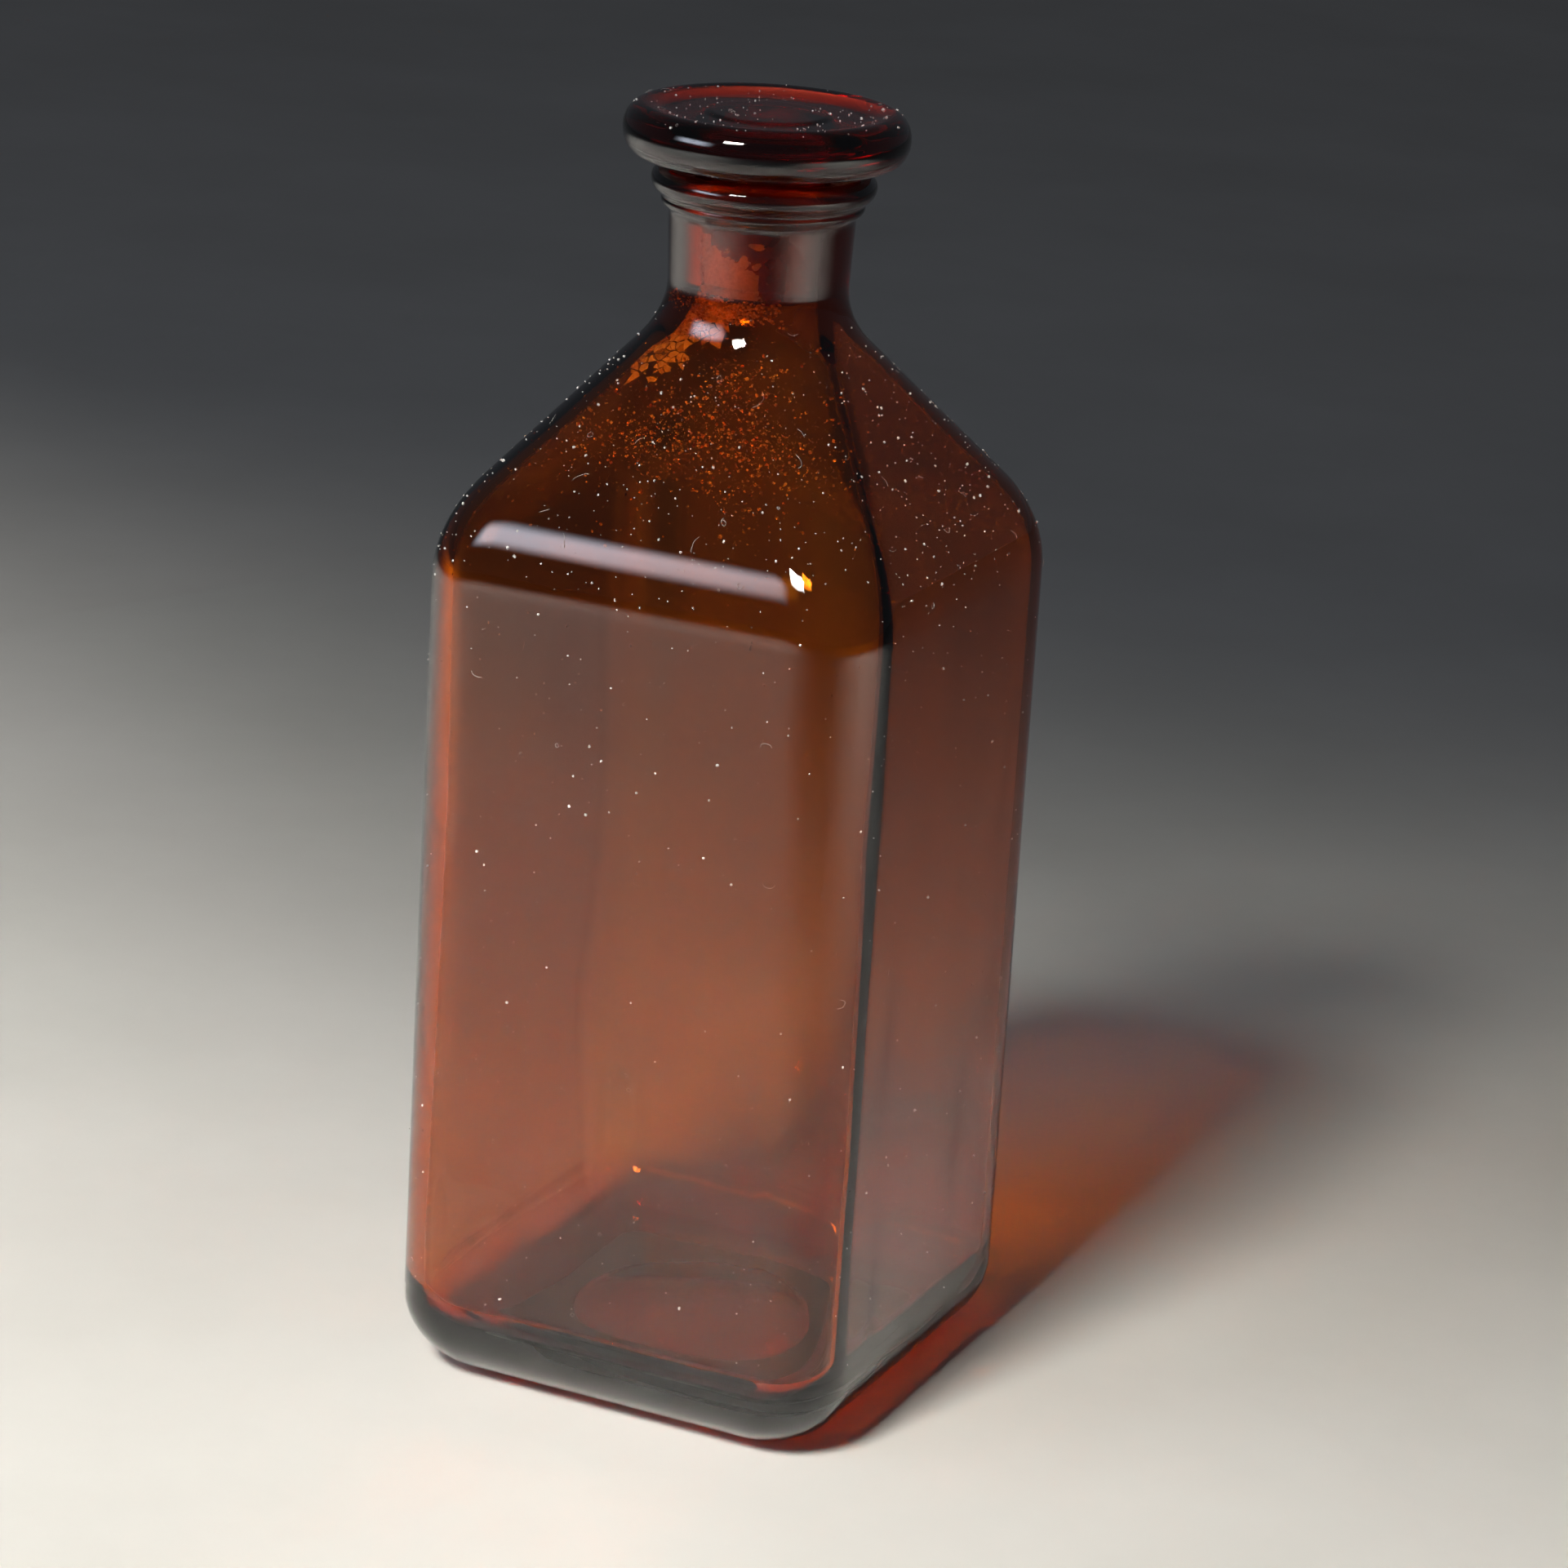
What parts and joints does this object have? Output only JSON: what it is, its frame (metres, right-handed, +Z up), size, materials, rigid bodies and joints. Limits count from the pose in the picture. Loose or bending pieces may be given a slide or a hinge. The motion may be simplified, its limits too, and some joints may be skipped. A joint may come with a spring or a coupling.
{
  "type": "stoppered glass medicine bottle",
  "caption": "Square amber glass apothecary bottle with sloping shoulders, a rolled lip and a ground-in glass stopper with a dished disc head.",
  "frame": {"origin": "centre of the base, on the surface that the bottle stands on", "axes": "+Z up through the neck and the stopper; -Y out of the wide face taken as the front; +X out of the face on its right"},
  "size_m": [0.072, 0.072, 0.1909],
  "materials": {
    "amber_glass": "clear brown-amber soda glass, fire-polished outside, slightly uneven inside",
    "ruby_glass": "deep red-brown pressed glass with a fine-ground frosted plug",
    "dried_residue": "dry, cracked and flaky orange-brown crust, matt",
    "residue_crystals": "small glittering orange-red crystals"
  },
  "bodies": {
    "bottle": {"bottle": "amber_glass", "dried_crust": "dried_residue", "dried_crystals": "residue_crystals"},
    "stopper": {"stopper": "ruby_glass"}
  },
  "joints": [
    {"name": "stopper_lift", "type": "slide", "parent": "bottle", "child": "stopper", "axis": [0, 0, 1], "range_m": [0, 0.045]}
  ]
}
